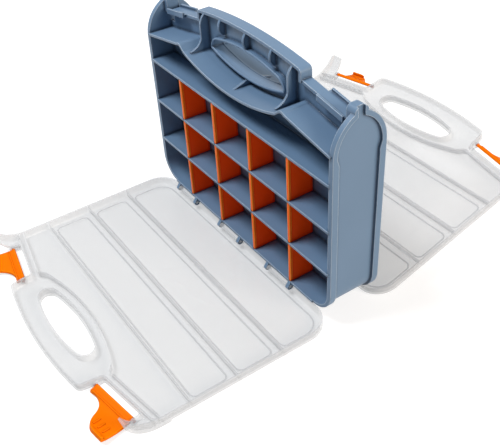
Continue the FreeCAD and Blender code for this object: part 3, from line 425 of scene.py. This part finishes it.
# Shapes worked out as whole arrays
def arc(start, end, radius, count):
    """Points of a circle arc in a plane, end left out: centre = middle of the chord moved to its
    left by the root of radius squared less half chord squared."""
    start, end = np.asarray(start, float), np.asarray(end, float)
    chord = end - start
    half = np.hypot(*chord) / 2
    square = np.array([-chord[1], chord[0]]) / (2 * half)
    centre = (start + end) / 2 + square * math.sqrt(max(radius * radius - half * half, 0.0))
    first = math.atan2(*(start - centre)[::-1])
    sweep = 2 * math.asin(min(1.0, half / radius))
    angles = first + sweep * np.arange(count) / count
    return centre + radius * np.stack([np.cos(angles), np.sin(angles)], axis=1)


def line(start, end, count):
    """Evenly spaced points from start towards end, end left out."""
    share = (np.arange(count) / count)[:, None]
    return np.asarray(start, float) * (1 - share) + np.asarray(end, float) * share


def ring_of(points):
    """Outward vectors of a closed plane loop: the turned difference of each point's neighbours."""
    run = np.roll(points, -1, axis=0) - np.roll(points, 1, axis=0)
    run /= np.linalg.norm(run, axis=1)[:, None]
    return np.stack([run[:, 1], -run[:, 0]], axis=1)


def upright(loop, depth):
    """A plane loop of across and up as points at one depth along Y."""
    return np.stack([loop[:, 0], np.full(len(loop), depth), loop[:, 1]], axis=1)


def fans(here, after, pole, last):
    """Triangles from a pole to the first ring and from the next pole to the last ring."""
    first = np.stack([np.full(len(here), pole), here, after], axis=1)
    second = np.stack([np.full(len(here), pole + 1), last + after, last + here], axis=1)
    return np.vstack([first, second])


def bead(path, side, rise, size, closed, sides=10):
    """Ellipse profile carried along a path: point + half cos t * side + high sin t * rise, where
    run x rise = side, so its faces look outwards. An open bead ends in a point at each end.
    Gives points, quads and triangles."""
    half, high = size
    count = len(path)
    t = 2 * np.pi * np.arange(sides) / sides
    skin = (path[:, None] + half * np.cos(t)[None, :, None] * side[:, None]
            + high * np.sin(t)[None, :, None] * rise[:, None]).reshape(-1, 3)
    i = np.arange(count if closed else count - 1)[:, None]
    j = np.arange(sides)[None, :]
    here, there = i * sides, ((i + 1) % count) * sides
    after = (j + 1) % sides
    quads = np.stack([here + j, there + j, there + after, here + after], axis=2).reshape(-1, 4)
    if closed:
        return skin, quads, np.empty((0, 3), int)
    ends = fans(j[0], after[0], len(skin), (count - 1) * sides)
    return np.vstack([skin, path[:1], path[-1:]]), quads, ends


def flat_bead(loop, depth, size):
    """Closed bead along a plane loop of across and up, at one depth along Y."""
    rise = np.tile([0.0, -1.0, 0.0], (len(loop), 1))
    return bead(upright(loop, depth), upright(ring_of(loop), 0.0), rise, size, True)


def dome(centre, size, rings=8, sides=14):
    """Ellipsoid: centre + size * (cos u cos v, sin u cos v, sin v), with a point at each pole.
    Gives points, quads and triangles."""
    v = np.linspace(-np.pi / 2, np.pi / 2, rings + 1)[1:-1][:, None]
    u = 2 * np.pi * np.arange(sides)[None, :] / sides
    skin = np.stack([np.cos(u) * np.cos(v), np.sin(u) * np.cos(v), np.sin(v) + 0 * u], axis=2)
    skin = skin.reshape(-1, 3)
    points = np.vstack([skin, [[0, 0, -1], [0, 0, 1]]]) * np.array(size) + centre
    i = np.arange(rings - 2)[:, None] * sides
    j = np.arange(sides)[None, :]
    after = (j + 1) % sides
    quads = np.stack([i + j, i + after, i + sides + after, i + sides + j], axis=2).reshape(-1, 4)
    return points, quads, fans(after[0], j[0], len(skin), (rings - 2) * sides)


def turned(axis, angle):
    """Rotation about X, Y or Z as a four by four array."""
    return np.array(Matrix.Rotation(angle, 4, axis))


def moved(x, y, z):
    """Shift as a four by four array."""
    return np.array(Matrix.Translation((x, y, z)))


def placed(shapes, matrix):
    """Shapes with their points carried by a four by four matrix."""
    return [(points @ matrix[:3, :3].T + matrix[:3, 3], quads, triangles)
            for points, quads, triangles in shapes]


def piece(name, shapes, body, material):
    """One smooth mesh object from shapes of points, quads and triangles, riding on a body."""
    skins, quads, triangles = zip(*shapes)
    base = np.cumsum([0] + [len(skin) for skin in skins])
    faces = []
    for kind in (quads, triangles):
        faces += np.vstack([some + first for some, first in zip(kind, base)]).tolist()
    mesh = bpy.data.meshes.new(name)
    mesh.from_pydata(np.vstack(skins).tolist(), [], faces)
    mesh.polygons.foreach_set("use_smooth", np.ones(len(mesh.polygons), bool))
    mesh.materials.append(material)
    mesh.update()
    made = bpy.data.objects.new(name, mesh)
    bpy.context.scene.collection.objects.link(made)
    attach(made, body)


def joint_place(name):
    """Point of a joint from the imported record."""
    for joint in frame["record"]["behaviour"]["joints"]:
        if joint["name"] == name:
            return joint["pos_m"]
    raise RuntimeError("no joint " + name)


def lid_turn(side):
    """Turn of a lid at rest; closed, it stands up Z with its outer face away from the body."""
    turn = turned("X", LID_OPEN[side])
    return turned("Z", math.pi) @ turn if side == "rear" else turn


def lid_matrix(side):
    """Lid frame at rest, with the hinge along X."""
    return moved(*joint_place(side + "_lid_hinge")) @ lid_turn(side)


def latch_matrix(side, hand):
    """Latch frame at rest: pivot along X, plate reaching along Y when closed."""
    fall = LATCH_FALL if hand == "right" else -LATCH_FALL
    place = moved(*joint_place("%s_latch_%s_pivot" % (side, hand)))
    return place @ lid_turn(side) @ turned("Y", fall) @ turned("X", LATCH_OPEN[side])


class SORTBOX_OT_body(bpy.types.Operator):
    """Dress the moulded body"""

    bl_idname = "sortbox.body"
    bl_label = "Body"

    def execute(self, context):
        finish, details = context.scene.sortbox_finish, context.scene.sortbox_details
        paint, _ = moulded("Blue-grey moulding", finish.body_colour, finish.body_pale,
                           BODY_LOOK, finish)
        dress(["body"], paint)
        low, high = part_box("body")
        middle = (low[1] + high[1]) / 2
        lips = self.collar_lips(middle, details.collar_lip)
        lips += self.moon_lips(middle, details.moon_lip)
        piece("grip_beads", lips, "case", paint)
        piece("shelf_stops", self.stops(middle, details.stop), "case", paint)
        return {"FINISHED"}

    def collar_lips(self, middle, size):
        """Rounded lips on both faces of the hand hole's collar: beads along its four arcs."""
        left, right = (-COLLAR_SIDE, COLLAR_SIDE_UP), (COLLAR_SIDE, COLLAR_SIDE_UP)
        top_left, top_right = (-COLLAR_TOP, COLLAR_TOP_UP), (COLLAR_TOP, COLLAR_TOP_UP)
        loop = np.vstack([
            arc(left, right, COLLAR_LOW_BEND, COLLAR_LOW_POINTS),
            arc(right, top_right, COLLAR_END_BEND, COLLAR_END_POINTS),
            arc(top_right, top_left, COLLAR_TOP_BEND, COLLAR_TOP_POINTS),
            arc(top_left, left, COLLAR_END_BEND, COLLAR_END_POINTS)])
        return [flat_bead(loop, middle + face, size) for face in (-COLLAR_FACE, COLLAR_FACE)]

    def moon_lips(self, middle, size):
        """Rounded lips on the half-moon ribs: beads along their curved edges, arcs in depth and
        up, on both sides of the grip in each column."""
        curve = arc((MOON_FOOT, MOON_LOW), (MOON_FOOT, MOON_HIGH), MOON_BEND, MOON_POINTS)
        side = np.tile([1.0, 0.0, 0.0], (len(curve), 1))
        made = []
        for column in MOON_COLUMNS:
            for way in (-1, 1):
                depth = middle + way * curve[:, 0]
                path = np.stack([np.full(len(curve), column), depth, curve[:, 1]], axis=1)
                run = np.gradient(path, axis=0)
                run /= np.linalg.norm(run, axis=1)[:, None]
                made.append(bead(path, side, np.cross(side, run), size, False))
        return made

    def stops(self, middle, size):
        """Small rounded stops on the floor's and shelves' edges: two domes at each divider."""
        return [dome((column + step, middle + way * STOP_REACH, level), size)
                for level in STOP_LEVELS
                for way, columns in STOP_COLUMNS
                for column in columns
                for step in (-STOP_STEP, STOP_STEP)]


class SORTBOX_OT_lids(bpy.types.Operator):
    """Dress the clear lids"""

    bl_idname = "sortbox.lids"
    bl_label = "Lids"

    def execute(self, context):
        finish, details = context.scene.sortbox_finish, context.scene.sortbox_details
        clear = milky("Milky clear lid", finish)
        dress(nodes_like("_lid"), clear)
        ridges = [flat_bead(self.outline(*panel), LID_INNER_FACE, details.panel_ridge)
                  for panel in PANELS]
        for side in ("front", "rear"):
            piece(side + "_lid_panels", placed(ridges, lid_matrix(side)),
                  side + "_lid", clear)
        return {"FINISHED"}

    def outline(self, low, high, near):
        """Rounded rectangle round one lid panel, with its own radius nearer the hinge."""
        reach, far = PANEL_REACH, PANEL_ROUND
        return np.vstack([
            line((-reach + near, low), (reach - near, low), PANEL_LONG_POINTS),
            arc((reach - near, low), (reach, low + near), near, PANEL_NEAR_POINTS),
            line((reach, low + near), (reach, high - far), PANEL_SHORT_POINTS),
            arc((reach, high - far), (reach - far, high), far, PANEL_FAR_POINTS),
            line((reach - far, high), (-reach + far, high), PANEL_LONG_POINTS),
            arc((-reach + far, high), (-reach, high - far), far, PANEL_FAR_POINTS),
            line((-reach, high - far), (-reach, low + near), PANEL_SHORT_POINTS),
            arc((-reach, low + near), (-reach + near, low), near, PANEL_NEAR_POINTS)])


class SORTBOX_OT_latches(bpy.types.Operator):
    """Dress the latches"""

    bl_idname = "sortbox.latches"
    bl_label = "Latches"

    def execute(self, context):
        finish, details = context.scene.sortbox_finish, context.scene.sortbox_details
        base = finish.latch_colour
        paint, _ = moulded("Latch orange", base, paler(base, LATCH_PALE), LATCH_LOOK, finish)
        dress(nodes_like("latch"), paint)
        for side in ("front", "rear"):
            for hand, sign in (("right", 1), ("left", -1)):
                ridges = [self.pivot_ridge(details.pivot_ridge)]
                ridges += self.hook_ribs(sign, details.hook_rib)
                name = "%s_latch_%s" % (side, hand)
                piece(name + "_ribs", placed(ridges, latch_matrix(side, hand)),
                      name, paint)
        return {"FINISHED"}

    def face(self, y):
        """Height of a latch's inner face: root(bend squared - (y - crest) squared) - drop."""
        return np.sqrt(LATCH_BEND ** 2 - (y - LATCH_CREST) ** 2) - LATCH_DROP

    def pivot_ridge(self, size):
        """Straight bead along the pivot, leaning with the face."""
        count = PIVOT_RIDGE_POINTS
        across = np.linspace(-PIVOT_RIDGE_REACH, PIVOT_RIDGE_REACH, count)
        y = np.full(count, PIVOT_RIDGE_AT)
        out, up = PIVOT_RIDGE_LEAN
        side = np.tile([0.0, out, up], (count, 1))
        rise = np.tile([0.0, up, -out], (count, 1))
        return bead(np.stack([across, y, self.face(y)], axis=1), side, rise, size, False)

    def hook_ribs(self, sign, size):
        """Short beads along the face towards the hook; each rises square to the face, whose
        slope is -(y - crest) / root(bend squared - (y - crest) squared)."""
        count = HOOK_RIB_POINTS
        y = np.linspace(HOOK_RIB_START, HOOK_RIB_END, count)
        slope = -(y - LATCH_CREST) / np.sqrt(LATCH_BEND ** 2 - (y - LATCH_CREST) ** 2)
        rise = np.stack([np.zeros(count), slope, -np.ones(count)], axis=1)
        rise /= np.linalg.norm(rise, axis=1)[:, None]
        side = np.tile([-1.0, 0.0, 0.0], (count, 1))
        return [bead(np.stack([np.full(count, sign * across), y, self.face(y)], axis=1),
                     side, rise, size, False) for across in HOOK_RIBS]


class SORTBOX_OT_dividers(bpy.types.Operator):
    """Dress the dividers"""

    bl_idname = "sortbox.dividers"
    bl_label = "Dividers"

    def execute(self, context):
        finish = context.scene.sortbox_finish
        base = finish.divider_colour
        paint, shader = moulded("Divider orange", base, paler(base, DIVIDER_PALE),
                                DIVIDER_LOOK, finish)
        # painted glow all over the dividers
        glow(shader, DIVIDER_PAINTED_GLOW)
        dress(nodes_like("divider"), paint)
        return {"FINISHED"}


# Stage
def soft_lamp(name, place, size, power, tint):
    """A square area lamp aimed at the object."""
    lamp = bpy.data.lights.new(name, "AREA")
    lamp.size = size
    lamp.energy = power
    lamp.color = tint
    holder = bpy.data.objects.new(name, lamp)
    holder.location = place
    holder.rotation_mode = "QUATERNION"
    holder.rotation_quaternion = (Vector(LAMP_AIM) - Vector(place)).to_track_quat("-Z", "Y")
    bpy.context.scene.collection.objects.link(holder)


def mix_where_seen(tree, plain, seen, output):
    """Mixes two shaders: seen for camera, glossy and transmission rays, plain for the others."""
    path = add_node(tree, "ShaderNodeLightPath")
    first = add_node(tree, "ShaderNodeMath", operation="MAXIMUM")
    second = add_node(tree, "ShaderNodeMath", operation="MAXIMUM")
    mix = add_node(tree, "ShaderNodeMixShader")
    link = tree.links.new
    link(path.outputs["Is Camera Ray"], first.inputs[0])
    link(path.outputs["Is Glossy Ray"], first.inputs[1])
    link(first.outputs[0], second.inputs[0])
    link(path.outputs["Is Transmission Ray"], second.inputs[1])
    link(second.outputs[0], mix.inputs["Fac"])
    link(plain.outputs[0], mix.inputs[1])
    link(seen.outputs[0], mix.inputs[2])
    link(mix.outputs[0], tree.nodes[output].inputs["Surface"])


class SORTBOX_OT_stage(bpy.types.Operator):
    """Floor, light and camera"""

    bl_idname = "sortbox.stage"
    bl_label = "Stage"

    def execute(self, context):
        scene, stage = context.scene, context.scene.sortbox_stage
        scene.view_settings.view_transform = "Standard"
        self.make_world(scene)
        self.make_floor(scene, stage)
        for lamp in LAMPS:
            soft_lamp(*lamp)
        self.make_camera(scene, stage)
        return {"FINISHED"}

    def make_world(self, scene):
        """Even white sky: plain light for the object, white where it is seen."""
        world = bpy.data.worlds.new("Studio")
        world.use_nodes = True
        tree = world.node_tree
        sky = tree.nodes["Background"]
        sky.inputs["Color"].default_value = WHITE
        sky.inputs["Strength"].default_value = SKY_LIGHT
        seen = add_node(tree, "ShaderNodeBackground", Color=WHITE, Strength=SKY_SEEN)
        mix_where_seen(tree, sky, seen, "World Output")
        scene.world = world

    def make_floor(self, scene, stage):
        """A wide flat square a hair under the object."""
        ends = np.array([-FLOOR_REACH, FLOOR_REACH])
        xs, ys = np.meshgrid(ends, ends)
        points = np.stack([xs.ravel(), ys.ravel(), np.full(4, -FLOOR_DROP)], axis=1)
        mesh = bpy.data.meshes.new("Floor")
        mesh.from_pydata(points.tolist(), [], [(0, 1, 3, 2)])
        mesh.materials.append(self.floor_paint(stage))
        floor = bpy.data.objects.new("Floor", mesh)
        scene.collection.objects.link(floor)

    def floor_paint(self, stage):
        """Pale floor that keeps the shadow, whiter where it is seen and with the distance."""
        paint = bpy.data.materials.new("Pale floor")
        paint.use_nodes = True
        tree = paint.node_tree
        shader = tree.nodes["Principled BSDF"]
        shader.inputs["Base Color"].default_value = (*stage.floor_colour, 1)
        shader.inputs["Roughness"].default_value = FLOOR_ROUGH
        shader.inputs["Specular IOR Level"].default_value = FLOOR_GLOSS
        place = add_node(tree, "ShaderNodeTexCoord")
        away = add_node(tree, "ShaderNodeVectorMath", operation="LENGTH")
        whiten = map_range(tree, *FLOOR_TO_GLOW)
        white = add_node(tree, "ShaderNodeEmission", Color=WHITE)
        both = add_node(tree, "ShaderNodeAddShader")
        link = tree.links.new
        link(place.outputs["Object"], away.inputs[0])
        link(away.outputs["Value"], whiten.inputs["Value"])
        link(whiten.outputs["Result"], white.inputs["Strength"])
        link(shader.outputs[0], both.inputs[0])
        link(white.outputs[0], both.inputs[1])
        mix_where_seen(tree, shader, both, "Material Output")
        return paint

    def make_camera(self, scene, stage):
        """Camera looking down its azimuth and elevation, then rolled about its view."""
        lens = bpy.data.cameras.new("Camera")
        lens.sensor_width = SENSOR_WIDTH
        lens.lens = stage.lens
        lens.clip_start = CLIP_START
        camera = bpy.data.objects.new("Camera", lens)
        scene.collection.objects.link(camera)
        a, e = stage.azimuth, stage.elevation
        back = Vector((math.sin(a) * math.cos(e), -math.cos(a) * math.cos(e), math.sin(e)))
        turn = (-back).to_track_quat("-Z", "Y").to_matrix()
        turn = turn @ Matrix.Rotation(stage.roll, 3, "Z")
        camera.matrix_world = Matrix.Translation(stage.camera_place) @ turn.to_4x4()
        scene.camera = camera


STEPS = (SORTBOX_OT_body, SORTBOX_OT_lids, SORTBOX_OT_latches, SORTBOX_OT_dividers,
         SORTBOX_OT_stage)


class SORTBOX_PT_panel(bpy.types.Panel):
    """Sidebar panel with the box's pieces"""

    bl_label = "Sorting box"
    bl_idname = "SORTBOX_PT_panel"
    bl_space_type = "VIEW_3D"
    bl_region_type = "UI"
    bl_category = "Sorting box"

    def draw(self, context):
        scene = context.scene
        for step in STEPS:
            self.layout.operator(step.bl_idname)
        for group in (scene.sortbox_finish, scene.sortbox_details, scene.sortbox_stage):
            box = self.layout.box()
            for name in group.__annotations__:
                box.prop(group, name)


CLASSES = (SortingBoxFinish, SortingBoxDetails, SortingBoxStage) + STEPS + (SORTBOX_PT_panel,)


def register():
    """Registers the classes and hangs the settings on the scene."""
    for each in CLASSES:
        bpy.utils.register_class(each)
    bpy.types.Scene.sortbox_finish = bpy.props.PointerProperty(type=SortingBoxFinish)
    bpy.types.Scene.sortbox_details = bpy.props.PointerProperty(type=SortingBoxDetails)
    bpy.types.Scene.sortbox_stage = bpy.props.PointerProperty(type=SortingBoxStage)


def unregister():
    """Takes the settings and the classes away again."""
    del bpy.types.Scene.sortbox_stage
    del bpy.types.Scene.sortbox_details
    del bpy.types.Scene.sortbox_finish
    for each in reversed(CLASSES):
        bpy.utils.unregister_class(each)


def main():
    """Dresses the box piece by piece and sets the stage."""
    register()
    bpy.ops.sortbox.body()
    bpy.ops.sortbox.lids()
    bpy.ops.sortbox.latches()
    bpy.ops.sortbox.dividers()
    bpy.ops.sortbox.stage()
    bpy.context.view_layer.update()


if __name__ == "__main__":
    main()
